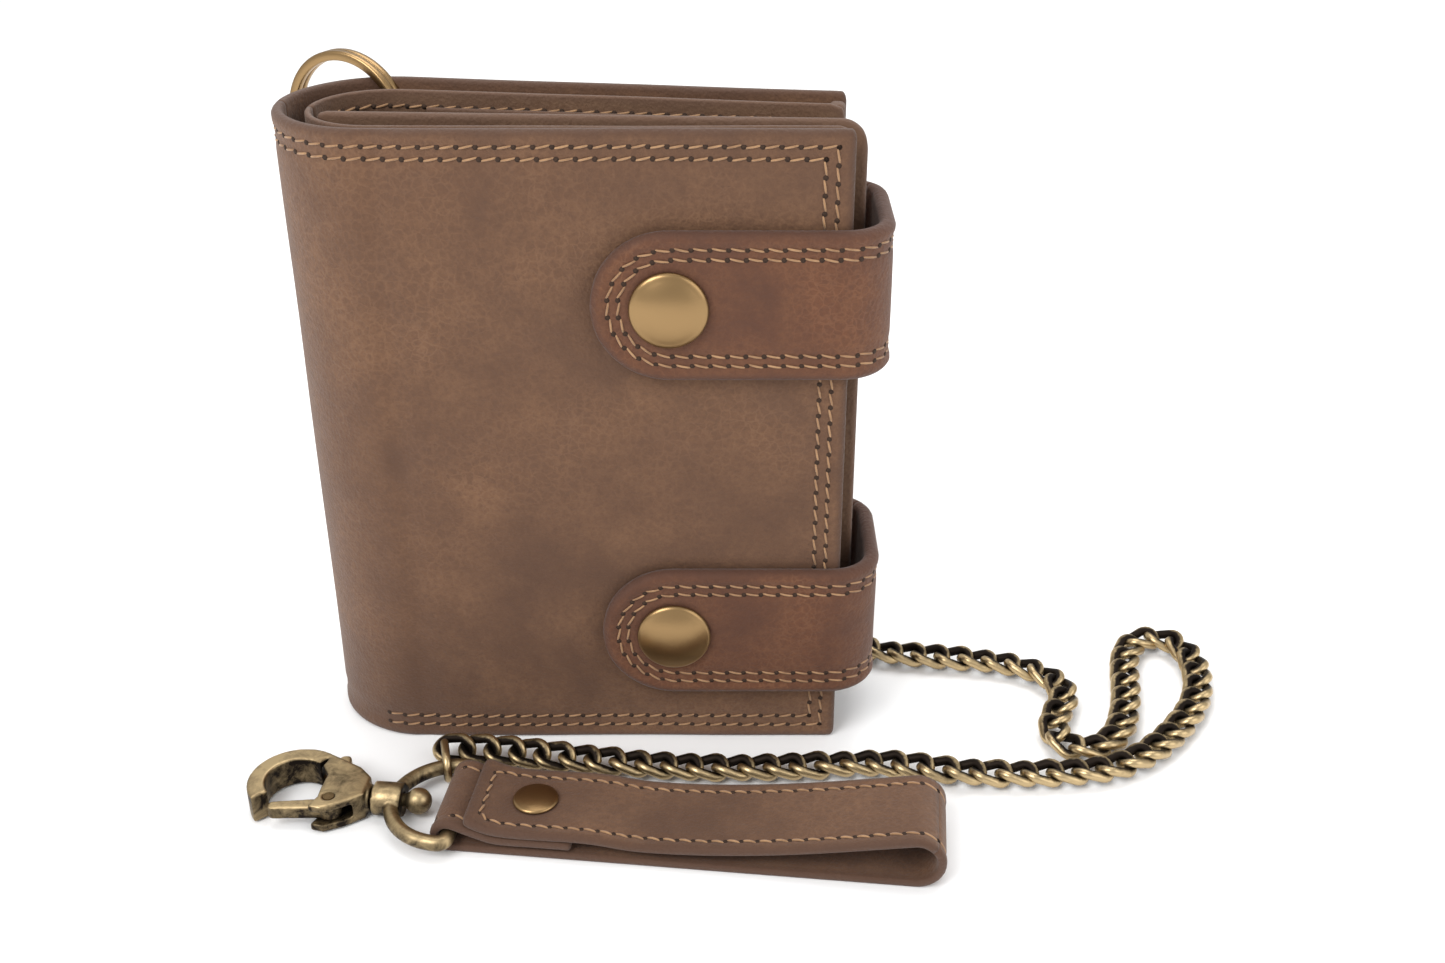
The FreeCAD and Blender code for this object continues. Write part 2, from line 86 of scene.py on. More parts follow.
ROUTE = [Vector(p) * MM for p in ROUTE]
LINK_PITCH = 5.146
LINK_LENGTH, LINK_WIDTH, LINK_WIRE = 9.0, 6.5, 1.95
# Links over which the chain turns flat after it hangs, and turns on edge again at its end
HANGING, TAIL = 22, 8
END_LINK_LENGTH, END_LINK_WIDTH, END_LINK_WIRE = 10.0, 7.0, 1.7

# Seams: distance of each row from the edge, stitch length, thread, and the needle holes, drawn as dark
# marks of painted shade
COVER_ROWS = (3.0, 5.2)
STRAP_ROWS = (3.1, 5.0)
LOOP_ROWS = (2.6,)
STITCH_PITCH, THREAD_R, STITCH_SLANT, STITCH_SAG = 3.3, 0.22, 0.3, 0.3
HOLE_R, HOLE_FOOT_R, HOLE_DEPTH, HOLE_SIDES = 0.5, 0.3, 0.25, 10

# Snap caps: radius, height and the radius that the edge turns down over
STRAP_CAP = (7.25, 2.7, 1.3)
LOOP_CAP = (4.4, 1.45, 0.8)

CAMERA_PLACE = (0.02544, -0.28532, 0.2028)
CAMERA_TURN = (62.094, 0.0, 0.072)
CAMERA_LENS, CAMERA_SENSOR = 39.86, 36.0

random.seed(7)


# ---------------------------------------------------------------- materials

def new_material(name):
    material = bpy.data.materials.new(name)
    material.use_nodes = True
    return material, material.node_tree


def node(tree, kind, **inputs):
    made = tree.nodes.new(kind)
    for key, value in inputs.items():
        made.inputs[key.replace("_", " ")].default_value = value
    return made


def mix(tree, factor, a, b):
    """Mixes two colours, each a socket or an RGB value."""
    made = tree.nodes.new("ShaderNodeMix")
    made.data_type = "RGBA"
    for slot, value in ((0, factor), (6, a), (7, b)):
        if isinstance(value, bpy.types.NodeSocket):
            tree.links.new(value, made.inputs[slot])
        elif slot == 0:
            made.inputs[0].default_value = value
        else:
            made.inputs[slot].default_value = (*value, 1)
    return made.outputs[2]


def remap(tree, socket, low, high, to_low=0.0, to_high=1.0):
    made = tree.nodes.new("ShaderNodeMapRange")
    made.inputs["From Min"].default_value = low
    made.inputs["From Max"].default_value = high
    made.inputs["To Min"].default_value = to_low
    made.inputs["To Max"].default_value = to_high
    tree.links.new(socket, made.inputs["Value"])
    return made.outputs["Result"]


def pattern(tree, where, scale, detail=4.0, roughness=0.55, distortion=0.0):
    made = node(tree, "ShaderNodeTexNoise", Scale=scale, Detail=detail, Roughness=roughness,
                Distortion=distortion)
    tree.links.new(where, made.inputs["Vector"])
    return made.outputs["Fac"]


def attribute(tree, name):
    made = tree.nodes.new("ShaderNodeAttribute")
    made.attribute_name = name
    return made.outputs["Fac"]


def bump(tree, height, strength, distance, below=None):
    made = node(tree, "ShaderNodeBump", Strength=strength, Distance=distance)
    tree.links.new(height, made.inputs["Height"])
    if below is not None:
        tree.links.new(below, made.inputs["Normal"])
    return made.outputs["Normal"]


def pale_creases(tree, where, scale):
    """A net of fine broken lines, 1 on the lines and 0 between them."""
    bent = tree.nodes.new("ShaderNodeVectorMath")
    bent.operation = "MULTIPLY_ADD"
    wobble = node(tree, "ShaderNodeTexNoise", Scale=380.0, Detail=4.0)
    tree.links.new(where, wobble.inputs["Vector"])
    tree.links.new(wobble.outputs["Color"], bent.inputs[0])
    bent.inputs[1].default_value = (0.0035, 0.0035, 0.0035)
    tree.links.new(where, bent.inputs[2])
    net = node(tree, "ShaderNodeTexVoronoi", Scale=scale)
    net.feature = "DISTANCE_TO_EDGE"
    tree.links.new(bent.outputs[0], net.inputs["Vector"])
    return remap(tree, net.outputs["Distance"], 0.0, 0.13, 1.0, 0.0)


def product(tree, a, b):
    made = tree.nodes.new("ShaderNodeMath")
    made.operation = "MULTIPLY"
    tree.links.new(a, made.inputs[0])
    tree.links.new(b, made.inputs[1])
    return made.outputs[0]


def leather(name, base, dark, light, edge, mottle=32.0, grain=1500.0, crease_scale=520.0, creasing=0.4):
    """Oiled leather: cloudy colour, pull-up marks, fine pores and creases, dark burnished rims."""
    material, tree = new_material(name)
    shader = tree.nodes["Principled BSDF"]
    where = tree.nodes.new("ShaderNodeTexCoord").outputs["Object"]
    cloud = pattern(tree, where, mottle, 5.0, 0.6, 0.4)
    colour = mix(tree, remap(tree, cloud, 0.3, 0.66), dark, base)
    patches = pattern(tree, where, mottle * 2.2, 6.0, 0.6, 0.2)
    colour = mix(tree, remap(tree, patches, 0.48, 0.8, 0.0, 0.55), colour, light)
    nap = pattern(tree, where, 900.0, 4.0, 0.75)
    colour = mix(tree, remap(tree, nap, 0.36, 0.66, 0.0, 0.6), colour, dark)
    where_creased = remap(tree, cloud, 0.4, 0.7, 0.0, creasing)
    creased = product(tree, pale_creases(tree, where, crease_scale), where_creased)
    colour = mix(tree, creased, colour, light)
    rim = attribute(tree, "rim")
    colour = mix(tree, remap(tree, rim, 0.2, 1.6, 0.85, 0.0), colour, edge)
    tree.links.new(colour, shader.inputs["Base Color"])
    pores = node(tree, "ShaderNodeTexVoronoi", Scale=grain)
    tree.links.new(where, pores.inputs["Vector"])
    normal = bump(tree, pores.outputs["Distance"], 0.3, 0.0003)
    creases = pattern(tree, where, 420.0, 6.0, 0.7, 1.2)
    normal = bump(tree, creases, 0.38, 0.0007, normal)
    tree.links.new(normal, shader.inputs["Normal"])
    tree.links.new(remap(tree, patches, 0.3, 0.7, 0.62, 0.8), shader.inputs["Roughness"])
    shader.inputs["Specular IOR Level"].default_value = 0.32
    shader.inputs["Sheen Weight"].default_value = 0.12
    shader.inputs["Sheen Roughness"].default_value = 0.6
    return material


def antique_metal(name, bright, dark, shine=0.32, blotch=160.0, wear=0.55):
    """Antiqued brass: dark in the hollows, rubbed bright where it wears; on the cast parts the bright
    colour is also a painted highlight on upward faces.
    """
    material, tree = new_material(name)
    shader = tree.nodes["Principled BSDF"]
    where = tree.nodes.new("ShaderNodeTexCoord").outputs["Object"]
    cloud = pattern(tree, where, blotch, 5.0, 0.7, 0.5)
    wear_and_highlight = attribute(tree, "wear_and_highlight")
    total = tree.nodes.new("ShaderNodeMath")
    total.operation = "ADD"
    tree.links.new(remap(tree, cloud, 0.3, 0.7, -0.3, 0.3), total.inputs[0])
    tree.links.new(remap(tree, wear_and_highlight, 0.0, 1.0, wear - 0.5, wear + 0.5), total.inputs[1])
    colour = mix(tree, remap(tree, total.outputs[0], 0.15, 0.8), dark, bright)
    tree.links.new(colour, shader.inputs["Base Color"])
    shader.inputs["Metallic"].default_value = 1.0
    scratches = pattern(tree, where, 1300.0, 3.0, 0.6, 1.0)
    dull = remap(tree, total.outputs[0], 0.1, 0.9, shine + 0.22, shine)
    tree.links.new(dull, shader.inputs["Roughness"])
    tree.links.new(bump(tree, scratches, 0.08, 0.0002), shader.inputs["Normal"])
    return material


def waxed_thread(name, base, dark):
    material, tree = new_material(name)
    shader = tree.nodes["Principled BSDF"]
    where = tree.nodes.new("ShaderNodeTexCoord").outputs["Object"]
    cloud = pattern(tree, where, 500.0, 3.0)
    tree.links.new(mix(tree, remap(tree, cloud, 0.3, 0.7), dark, base), shader.inputs["Base Color"])
    fibre = pattern(tree, where, 5200.0, 2.0)
    tree.links.new(bump(tree, fibre, 0.4, 0.0001), shader.inputs["Normal"])
    shader.inputs["Roughness"].default_value = 0.7
    shader.inputs["Sheen Weight"].default_value = 0.3
    return material


# Near-black painted shade for the needle holes
def hole_shade_material():
    material, tree = new_material("stitch_hole_shade")
    shader = tree.nodes["Principled BSDF"]
    where = tree.nodes.new("ShaderNodeTexCoord").outputs["Object"]
    cloud = pattern(tree, where, 900.0, 2.0)
    colour = mix(tree, cloud, (0.02, 0.009, 0.004), (0.05, 0.024, 0.012))
    tree.links.new(colour, shader.inputs["Base Color"])
    shader.inputs["Roughness"].default_value = 0.9
    return material


COVER_LEATHER = leather("cover_leather", (0.146, 0.068, 0.031), (0.083, 0.037, 0.018),
                        (0.220, 0.114, 0.058), (0.070, 0.031, 0.016))
STRAP_LEATHER = leather("strap_leather", (0.134, 0.046, 0.016), (0.076, 0.027, 0.012),
                        (0.190, 0.082, 0.037), (0.066, 0.023, 0.010), 45.0, 1250.0, 620.0, 0.6)
INNER_LEATHER = leather("inner_leather", (0.138, 0.070, 0.035), (0.094, 0.046, 0.023),
                        (0.185, 0.108, 0.062), (0.105, 0.052, 0.029), 45.0)
THREAD = waxed_thread("waxed_thread", (0.40, 0.225, 0.105), (0.24, 0.125, 0.054))
HOLE_SHADE = hole_shade_material()
BRASS = antique_metal("antique_brass", (0.32, 0.205, 0.095), (0.12, 0.08, 0.036), 0.32, 120.0, 0.72)
CHAIN_BRASS = antique_metal("chain_brass", (0.50, 0.375, 0.205), (0.020, 0.015, 0.012),
                            0.34, 260.0, 0.42)
STEEL = antique_metal("spring_steel", (0.6, 0.6, 0.58), (0.25, 0.25, 0.24), 0.28, 300.0, 0.8)


# ---------------------------------------------------------------- meshes

def finish_piece(name, verts, faces, material, body, nodes=(), attributes=None):
    mesh = bpy.data.meshes.new(name)
    mesh.from_pydata([tuple(v * MM) for v in verts], [], faces)
    mesh.validate()
    for key, values in (attributes or {}).items():
        layer = mesh.attributes.new(key, "FLOAT", "POINT")
        layer.data.foreach_set("value", values)
    for polygon in mesh.polygons:
        polygon.use_smooth = True
    mesh.materials.append(material)
    piece = bpy.data.objects.new(name, mesh)
    bpy.context.scene.collection.objects.link(piece)
    if body:
        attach(piece, body)
    if nodes:
        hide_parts(*nodes)
    return piece


def arc(cx, cy, r, start, end, step=3.0):
    count = max(4, int(abs(end - start) / step))
    angles = [math.radians(start + (end - start) * i / count) for i in range(count + 1)]
    return [Vector((cx + r * math.cos(a), cy + r * math.sin(a))) for a in angles]


def smooth(points, per=10):
    """A smooth line through points, by Catmull-Rom."""
    pts = [Vector(p) for p in points]
    pts = [2 * pts[0] - pts[1]] + pts + [2 * pts[-1] - pts[-2]]
    line = []
    for i in range(1, len(pts) - 2):
        a, b, c, d = pts[i - 1:i + 3]
        for k in range(per):
            t = k / per
            line.append(0.5 * (2 * b + (c - a) * t + (2 * a - 5 * b + 4 * c - d) * t * t
                               + (3 * b - a - 3 * c + d) * t ** 3))
    return line + [pts[-2]]


class Path:
    """A line in a plane, measured by its length. side is 1 where outwards is left of travel."""

    def __init__(self, points, side, plane):
        self.points = [points[0]]
        for p in points[1:]:
            if (p - self.points[-1]).length > 1e-4:
                self.points.append(p)
        self.side = side
        self.plane = plane
        self.lengths = [0.0]
        for a, b in zip(self.points, self.points[1:]):
            self.lengths.append(self.lengths[-1] + (b - a).length)
        self.length = self.lengths[-1]
        steps = [(b - a).normalized() for a, b in zip(self.points, self.points[1:])]
        between = [(a + b).normalized() for a, b in zip(steps, steps[1:])]
        self.tangents = [steps[0]] + between + [steps[-1]]

    def at(self, s, w=0.0, out=0.0):
        """The point at length s, w across and out from the middle of the leather."""
        low, high = 0, len(self.points) - 1
        inside = min(max(s, 0.0), self.length)
        while high - low > 1:
            middle = (low + high) // 2
            if self.lengths[middle] <= inside:
                low = middle
            else:
                high = middle
        t = (inside - self.lengths[low]) / (self.lengths[high] - self.lengths[low])
        point = self.points[low].lerp(self.points[high], t)
        tangent = self.tangents[low].lerp(self.tangents[high], t).normalized()
        point = point + tangent * (s - inside)
        outwards = Vector((-tangent.y, tangent.x)) * self.side
        point = point + outwards * out
        return self.plane(point.x, point.y, w)


def upright(x, y, w):
    return Vector((x, y, w))


def loop_plane(u, z, v):
    c, s = math.cos(LOOP_TURN), math.sin(LOOP_TURN)
    return Vector((LOOP_X + u * c - v * s, LOOP_Y + u * s + v * c, z))


class Outline:
    """A sheet's outline: a strip from lo to hi with rounded corners at either end."""

    def __init__(self, length, lo, hi, start_r=0.0, end_r=0.0, joined=False):
        self.length, self.lo, self.hi = length, lo, hi
        self.start_r, self.end_r = start_r, end_r
        self.joined = joined

    def span(self, s):
        inset = 0.0
        for r, d in ((self.start_r, s), (self.end_r, self.length - s)):
            if r and d < r:
                inset = max(inset, r - math.sqrt(max(0.0, r * r - (r - d) ** 2)))
        return self.lo + inset, self.hi - inset

    def inside(self, s, w):
        """Distance from the edge of the sheet."""
        best = min(self.length - s, w - self.lo, self.hi - w)
        if not self.joined:
            best = min(best, s)
        for r, along in ((self.start_r, s), (self.end_r, self.length - s)):
            across = min(w - self.lo, self.hi - w)
            if r and along < r and across < r:
                best = min(best, r - math.hypot(r - along, r - across))
        return best


def waves(seed, size, amount):
    """Slow dents, as soft leather has."""
    def height(s, w):
        fade = min(1.0, s / 12.0)
        return amount * fade * noise.noise(Vector((s / size + seed * 7.3, w / size, seed)))
    return height


def leather_sheet(name, path, outline, thickness, material, body, nodes=(), spacing=1.0,
                  edge=0.7, relief=None, capped=(True, True), wave=None, stretch=None):
    """A sheet of leather along a path, with rounded edges. relief raises its outer face.
    stretch is the range of the path that this piece covers, where a sheet is made in two."""
    relief = relief or (lambda s, w: 0.0)
    wave = wave or (lambda s, w: 0.0)
    edge = min(edge, thickness * 0.49)
    length = outline.length
    turns = [math.radians(a) for a in (0, 18, 36, 54, 72, 90)]
    ends = [edge * (1 - math.sin(a)) for a in reversed(turns)]
    insets = [edge * (1 - math.cos(a)) for a in reversed(turns)]
    low_end, high_end = stretch or (0.0, length)
    stations = list(zip(ends, insets)) if capped[0] else [(low_end, 0.0)]
    first = stations[-1][0]
    last = high_end - (edge if capped[1] else 0.0)
    count = max(2, round((last - first) / spacing))
    round_end = outline.end_r > 4 and high_end == length
    stations += [(first + (last - first) * (k / count), 0.0) for k in range(1, count + 1)]
    if round_end:
        tail = last - outline.end_r
        stations = [x for x in stations if x[0] < tail]
        steps = 28
        stations += [(tail + outline.end_r * math.sin(math.pi / 2 * k / steps), 0.0)
                     for k in range(steps + 1)]
        stations = [x for x in stations if x[0] <= last]
    if capped[1]:
        stations += [(length - e, i) for e, i in reversed(list(zip(ends, insets)))][1:]
    across = max(3, round((outline.hi - outline.lo) / spacing))
    verts, rim, faces = [], [], []
    half = thickness / 2
    arcs = [math.radians(a) for a in (10, 35, 62, 90)]
    for s, inset in stations:
        lo, hi = outline.span(min(max(s, 0.0), length - 0.02))
        if hi - lo < 2 * edge + 0.4:
            middle = (lo + hi) / 2
            lo, hi = middle - edge - 0.2, middle + edge + 0.2
        r = edge - inset
        top = half - inset
        lo, hi = lo + inset, hi - inset
        outer = [(lo + r * (1 - math.cos(a)), top - r * (1 - math.sin(a))) for a in arcs]
        flat = [(lo + r + (hi - lo - 2 * r) * k / across, top) for k in range(1, across)]
        other = [(hi - (w - lo), n) for w, n in reversed(outer)]
        row = outer + flat + other
        for sign in (1, -1):
            for w, n in (row if sign > 0 else reversed(row)):
                distance = max(0.0, outline.inside(min(max(s, 0.0), length), w))
                lift = wave(s, w) + (relief(s, w) * min(1.0, distance / edge) if sign > 0 else 0.0)
                verts.append(path.at(s, w, sign * n + lift))
                rim.append(distance)
    ring = len(verts) // len(stations)
    for i in range(len(stations) - 1):
        for k in range(ring):
            a, b = i * ring + k, i * ring + (k + 1) % ring
            faces.append((a, b, b + ring, a + ring))
    for base, flip in ((0, True), ((len(stations) - 1) * ring, False)):
        for k in range(ring // 2 - 1):
            quad = (base + k, base + k + 1, base + ring - 2 - k, base + ring - 1 - k)
            faces.append(tuple(reversed(quad)) if flip else quad)
    if path.side * (1 if path.plane is upright else -1) > 0:
        faces = [tuple(reversed(f)) for f in faces]
    piece = finish_piece(name, verts, faces, material, body, nodes, {"rim": rim})
    # A cut end is flat, so that no shading line shows where the next piece goes on
    walls, quads = (len(stations) - 1) * ring, ring // 2 - 1
    for end in (0, 1):
        if not capped[end]:
            for k in range(walls + end * quads, walls + (end + 1) * quads):
                piece.data.polygons[k].use_smooth = False
    return piece


def grooves(outline, rows, depth=0.22, width=0.95, swell=0.22):
    """Sinks the leather along its stitch rows and lets it swell between them and the edge."""
    def height(s, w):
        d = outline.inside(s, w)
        lift = 0.0
        for row in rows:
            lift -= depth * math.exp(-((d - row) / width) ** 2)
        middle = rows[0] / 2
        lift += swell * math.exp(-((d - middle) / (middle * 0.7)) ** 2)
        return lift
    return height


# ---------------------------------------------------------------- stitches

def capsule(start, end, radius, up, verts, faces, sag):
    """A stitch: a short thread that dives into the leather at both ends."""
    sides, steps = 8, 8
    along = end - start
    across = along.cross(up).normalized()
    base = len(verts)
    for i in range(steps + 1):
        t = i / steps
        swell = radius * (0.35 + 0.65 * math.sin(math.pi * min(1, max(0, t))) ** 0.45)
        centre = start + along * t - up * (sag * (1 - math.sin(math.pi * t) ** 0.6))
        for k in range(sides):
            a = 2 * math.pi * k / sides
            verts.append(centre + across * (swell * math.cos(a)) + up * (swell * 0.8 * math.sin(a)))
    for i in range(steps):
        for k in range(sides):
            a, b = base + i * sides + k, base + i * sides + (k + 1) % sides
            faces.append((a, b, b + sides, a + sides))
    faces.append(tuple(base + k for k in reversed(range(sides))))
    faces.append(tuple(base + steps * sides + k for k in range(sides)))


def row_line(outline, inset):
    """Points along a row of stitches at an inset from the outline: the side at lo, the far end, the side
    at hi, and back across the start."""
    r = max(0.0, outline.end_r - inset)
    s0, s1 = inset, outline.length - inset
    lo, hi = outline.lo + inset, outline.hi - inset
    points = [Vector((s0, lo)), Vector((s1 - r, lo))]
    if r:
        corner = [Vector((s1 - r + r * math.sin(a), lo + r - r * math.cos(a)))
                  for a in [math.pi / 2 * k / 12 for k in range(13)]]
        points += corner + [Vector((p.x, lo + hi - p.y)) for p in reversed(corner)]
    else:
        points += [Vector((s1, lo)), Vector((s1, hi))]
    return points + [Vector((s1 - r, hi)), Vector((s0, hi)), Vector((s0, hi)), Vector((s0, lo))]


def resample(line, pitch):
    lengths = [0.0]
    for a, b in zip(line, line[1:]):
        lengths.append(lengths[-1] + (b - a).length)
    count = max(1, round(lengths[-1] / pitch))
    out, k = [], 0
    for i in range(count + 1):
        want = lengths[-1] * i / count
        while k < len(lengths) - 2 and lengths[k + 1] < want:
            k += 1
        span = lengths[k + 1] - lengths[k] or 1.0
        out.append(line[k].lerp(line[k + 1], (want - lengths[k]) / span))
    return out


def stitch_rows(name, path, thickness, lines, body, relief=None, wave=None, pitch=STITCH_PITCH,
                radius=THREAD_R):
    """Slanting stitches along lines in a sheet's own plane, and between them dark marks of painted shade
    at the needle holes.
    A negative thickness puts them on the sheet's inner face."""
    relief = relief or (lambda s, w: 0.0)
    wave = wave or (lambda s, w: 0.0)
    verts, faces, hole_verts, hole_faces = [], [], [], []

    def surface(p, out):
        face = 1 if thickness > 0 else -1
        return path.at(p.x, p.y, wave(p.x, p.y) + face * (abs(thickness) / 2 + relief(p.x, p.y) + out))

    for line in lines:
        marks = resample(line, pitch)
        for a, b in zip(marks, marks[1:]):
            along = (b - a).normalized()
            across = Vector((-along.y, along.x))
            start = a.lerp(b, 0.05) - across * STITCH_SLANT
            end = a.lerp(b, 0.93) + across * (STITCH_SLANT + random.uniform(-0.1, 0.1))
            up = (surface(a, 1.0) - surface(a, 0.0)).normalized()
            capsule(surface(start, radius * 0.8), surface(end, radius * 0.8), radius, up,
                    verts, faces, STITCH_SAG)
        for mark in marks:
            up = (surface(mark, 1.0) - surface(mark, 0.0)).normalized()
            east = (surface(mark + Vector((0.1, 0)), 0) - surface(mark, 0)).normalized()
            north = up.cross(east)
            base = len(hole_verts)
            # Each needle hole is a dark puck of painted shade: a flat top just above the leather and a
            # short cone below it
            centre = surface(mark, 0.1)
            foot = centre - up * HOLE_DEPTH
            turns = [2 * math.pi * k / HOLE_SIDES for k in range(HOLE_SIDES)]
            spokes = [east * math.cos(a) + north * math.sin(a) for a in turns]
            hole_verts += [centre] + [centre + spoke * HOLE_R for spoke in spokes]
            hole_verts += [foot + spoke * HOLE_FOOT_R for spoke in spokes] + [foot]
            for k in range(HOLE_SIDES):
                a, b = base + 1 + k, base + 1 + (k + 1) % HOLE_SIDES
                hole_faces.append((base, a, b))
                hole_faces.append((a, a + HOLE_SIDES, b + HOLE_SIDES, b))
                hole_faces.append((base + 2 * HOLE_SIDES + 1, b + HOLE_SIDES, a + HOLE_SIDES))
    thread = finish_piece(name, verts, faces, THREAD, body)
    holes = finish_piece(name + "_hole_shades", hole_verts, hole_faces, HOLE_SHADE, body)
    return thread, holes


def split_lines(lines, where):
    """Cuts stitch lines at a distance along the sheet, into those before and those after it."""
    before, after = [], []
    for line in lines:
        run = [line[0]]
        for a, b in zip(line, line[1:]):
            if (a.x < where) != (b.x < where):
                cut = a.lerp(b, (where - a.x) / (b.x - a.x))
                run.append(cut)
                (before if a.x < where else after).append(run)
                run = [cut]
            run.append(b)
        (before if run[-1].x < where else after).append(run)
    return before, after


def folding_sheet(name, path, outline, thickness, material, nodes, spacing, edge, rows, relief,
                  wave, cut, moving, pitch, radius):
    """A strap that opens at a fold, as a piece that bends over the fold and one that rides on the
    moving body. They meet at the distance cut along the strap."""
    lines = [row_line(outline, row) for row in rows]
    before, after = split_lines(lines, cut)
    near = [leather_sheet(name + "_fold", path, outline, thickness, material, None, nodes[0],
                          spacing, edge, relief, (True, False), wave, (0.0, cut))]
    near += stitch_rows(name + "_fold_stitches", path, thickness, before, None, relief, wave,
                        pitch, radius)
    for piece in near:
        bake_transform(piece)
    leather_sheet(name + "_leather", path, outline, thickness, material, moving, nodes[1], spacing,
                  edge, relief, (False, True), wave, (cut, path.length))
    stitch_rows(name + "_stitches", path, thickness, after, moving, relief, wave, pitch, radius)


# ---------------------------------------------------------------- wallet body

BACK_ALONG = Vector((math.cos(BACK_TILT), -math.sin(BACK_TILT)))
BACK_OUT = Vector((math.sin(BACK_TILT), math.cos(BACK_TILT)))
BACK_START = Vector((SPINE_X, SPINE_Y)) + BACK_OUT * SPINE_R
FRONT_Y = SPINE_Y - SPINE_R
FRONT_RUN = FORE_EDGE - SPINE_X
BACK_RUN = (FORE_EDGE - BACK_START.x) / BACK_ALONG.x
FOLD_ANGLES = {"front": 225.0, "back": 135.0}
RUNS = {"front": FRONT_RUN, "back": BACK_RUN}
# On which side of its path each half has its outer face
SIDES = {"front": -1, "back": 1}
# How far the leather stops before the CAD cover's fore-edge
EDGE_STEP = 0.6
# Half the width of the strip that bends at a fold line
FOLD_REACH = 5.5


def panel_point(half, s, depth):
    if half == "front":
        return Vector((SPINE_X + s, FRONT_Y + depth))
    return BACK_START + BACK_ALONG * s - BACK_OUT * depth


def wallet_path(half, depth):
    """From the middle of the spine to the fore-edge, at a depth below the cover's outer face."""
    end = 270.0 if half == "front" else 90.0 - math.degrees(BACK_TILT)
    bend = arc(SPINE_X, SPINE_Y, SPINE_R - depth, 180.0, end, 2.0)
    points = bend + [panel_point(half, RUNS[half] - EDGE_STEP, depth)]
    return Path(points, SIDES[half], upright)


def fold(piece, half):
    """Bakes a piece's placement into its mesh. It works out the ends of a strip across the fold line
    between the spine and one half of the wallet, but does not use them.
    """
    a = math.radians(FOLD_ANGLES[half])
    line = Vector((SPINE_X + SPINE_R * math.cos(a), SPINE_Y + SPINE_R * math.sin(a), 64.0))
    along = Vector((math.sin(a), -math.cos(a), 0.0)) * SIDES[half]
    start, end = (line - along * FOLD_REACH) * MM, (line + along * FOLD_REACH) * MM
    if half == "front":
        tuple(start)
        tuple(end)
        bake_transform(piece)
    else:
        tuple(end)
        tuple(start)
        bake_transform(piece)


def crease(path, outline, rows):
    """Stitch grooves and the crease where the front panel meets the spine."""
    grooved = grooves(outline, rows)
    start = path.length - FRONT_RUN

    def height(s, w):
        return grooved(s, w) - 0.35 * math.exp(-((s - start - 2.0) / 2.4) ** 2)
    return height



def build_half(half):
    path = wallet_path(half, COVER / 2)
    outline = Outline(path.length, 0.0, HEIGHT, 0.0, 1.2, True)
    relief = crease(path, outline, COVER_ROWS)
    wave = waves(1 if half == "front" else 2, 34.0, 0.45)
    nodes = (half + "_cover", "spine_cover") if half == "front" else (half + "_cover",)
    piece = leather_sheet(half + "_cover_leather", path, outline, COVER, COVER_LEATHER, None,
                          nodes, 1.05, 0.85, relief, (False, True), wave)
    fold(piece, half)
    lines = []
    for row in COVER_ROWS:
        top, foot = HEIGHT - row, row
        end = path.length - row
        lines.append([Vector((2.0, top)), Vector((end, top))])
        lines.append([Vector((end, top)), Vector((end, foot))])
        lines.append([Vector((end, foot)), Vector((path.length - FRONT_RUN - 6.0, foot))])
    for piece in stitch_rows(half + "_cover_stitches", path, COVER, lines, None, relief, wave):
        fold(piece, half)
    middle = COVER + NOTE_GAP + LINING / 2
    inner = wallet_path(half, middle)
    flat = Outline(inner.length, 0.0, HEIGHT - 1.0, 0.0, 2.0, True)
    soft = waves(3, 26.0, 0.35)
    nodes = (half + "_lining", "spine_lining") if half == "front" else (half + "_lining",)
    piece = leather_sheet(half + "_lining_leather", inner, flat, LINING, INNER_LEATHER, None,
                          nodes, 2.0, 0.5, None, (False, True), soft)
    fold(piece, half)
    top = [[Vector((3.0, HEIGHT - 4.0)), Vector((inner.length - 3.0, HEIGHT - 4.0))]]
    for piece in stitch_rows(half + "_lining_stitches", inner, -LINING, top, None, None, soft):
        fold(piece, half)
    run = RUNS[half] - EDGE_STEP
    for part, s0, s1, z0, z1 in (("base_lip", 6.0, run, 0.0, 3.0),
                                 ("side_lip", run - 3.0, run, 0.2, HEIGHT - 1.4)):
        line = [panel_point(half, s, COVER + NOTE_GAP / 2) for s in (s0, s1)]
        lip = Path(line, SIDES[half], upright)
        leather_sheet("%s_%s" % (half, part), lip, Outline(lip.length, z0, z1), NOTE_GAP + 0.3,
                      INNER_LEATHER, half + "_half", (), 1.5, 1.0)


def card_pocket(half, index, top):
    depth = COVER + NOTE_GAP + LINING + index * (CARD + LAYER_GAP) + CARD / 2
    line = [panel_point(half, 5.0, depth), panel_point(half, RUNS[half] - 1.5, depth)]
    path = Path(line, SIDES[half], upright)
    name = "%s_card_pocket_%d" % (half, index + 1)
    outline = Outline(path.length, INNER_BASE, top, 0.0, 0.0)
    leather_sheet(name + "_leather", path, outline, CARD, INNER_LEATHER, half + "_half",
                  (name,), 2.0, 0.4, None, (True, True), waves(5 + index, 40.0, 0.03))
    line = [[Vector((3.0, top - 2.4)), Vector((path.length - 3.0, top - 2.4))]]
    stitch_rows(name + "_stitches", path, -CARD, line, half + "_half", None, None, 2.8, 0.22)


